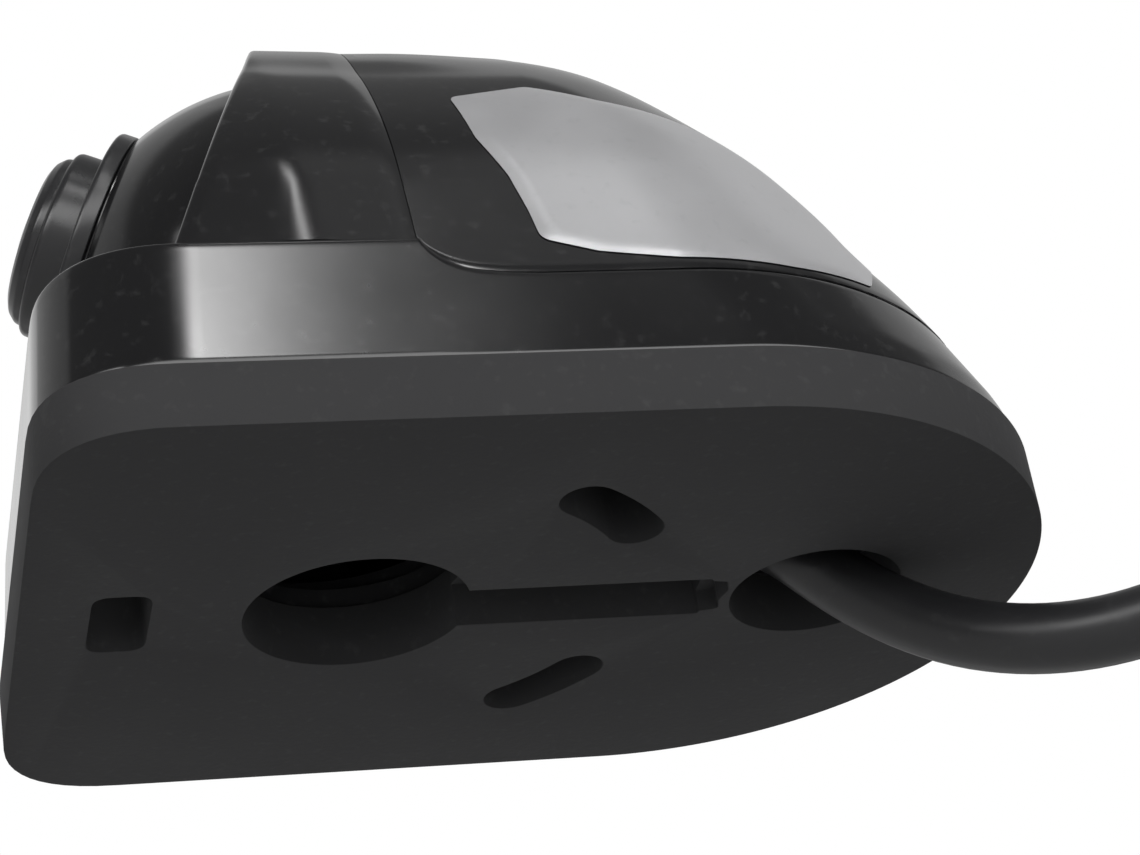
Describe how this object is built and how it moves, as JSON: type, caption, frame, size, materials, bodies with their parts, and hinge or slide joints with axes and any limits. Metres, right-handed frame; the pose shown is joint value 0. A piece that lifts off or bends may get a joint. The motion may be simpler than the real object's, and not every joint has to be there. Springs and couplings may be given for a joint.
{
  "type": "backup camera",
  "caption": "Surface-mounted vehicle camera: a ball head that tilts under an arched hood, on a gasketed base, with a coiled pigtail cable and a round screw-on plug.",
  "frame": {"origin": "centre of the large round hole of the base pad, on the mounting face", "axes": "+Z away from the panel, lens end at -X, cable end at +X, +Y completes a right-handed frame"},
  "size_m": [0.1403, 0.0779, 0.1597],
  "materials": {
    "rubber_black": "matt",
    "steel": "satin zinc",
    "black_steel": "matt black coat",
    "gloss_black": "gloss",
    "label_silver": "satin silver film",
    "matte_black": "matt",
    "cable_black": "satin",
    "bezel_black": "semi-gloss",
    "glass_clear": "polished",
    "lens_glass": "coated",
    "filter_glass": "coated",
    "black_aluminium": "anodised black",
    "board_green": "solder mask",
    "sensor_grey": "gloss",
    "nickel": "satin nickel",
    "pin_brass": "gold flash"
  },
  "bodies": {
    "housing": {"base_gasket": "rubber_black", "mounting_plate": "black_steel", "plate_screws": "steel", "lower_housing": "gloss_black", "hood": "gloss_black", "hood_screws": "steel", "rear_cover": "gloss_black", "cover_screws": "steel", "label_plate": "label_silver", "tilt_bracket": "black_steel", "bracket_screws": "steel", "cable_clamp": "matte_black", "clamp_screws": "steel", "cable": "cable_black", "cable_coil": "cable_black", "cable_tie": "matte_black", "cable_tail": "cable_black", "plug_boot": "rubber_black", "plug_body": "nickel", "plug_insert": "matte_black", "plug_pins": "pin_brass"},
    "camera_head": {"ball_front": "gloss_black", "ball_rear": "gloss_black", "ball_seal": "rubber_black", "ball_screws": "steel", "pivot_screws": "steel", "friction_washers": "matte_black", "bezel": "bezel_black", "lens_ring": "bezel_black", "front_glass": "glass_clear", "lens_barrel": "black_aluminium", "lens_front": "lens_glass", "lens_middle": "lens_glass", "lens_rear": "lens_glass", "lens_holder": "matte_black", "ir_filter": "filter_glass", "image_sensor": "sensor_grey", "sensor_board": "board_green", "board_screws": "steel"},
    "plug_nut": {"coupling_nut": "nickel"}
  },
  "joints": [
    {"name": "tilt", "type": "hinge", "parent": "housing", "child": "camera_head", "pos_m": [-0.0017, 0, 0.0286], "axis": [0, 1, 0], "range_deg": [-30, 22]},
    {"name": "nut_turn", "type": "hinge", "parent": "housing", "child": "plug_nut", "pos_m": [0.1039, -0.0375, -0.1], "axis": [0, 0, 1], "continuous": true}
  ]
}
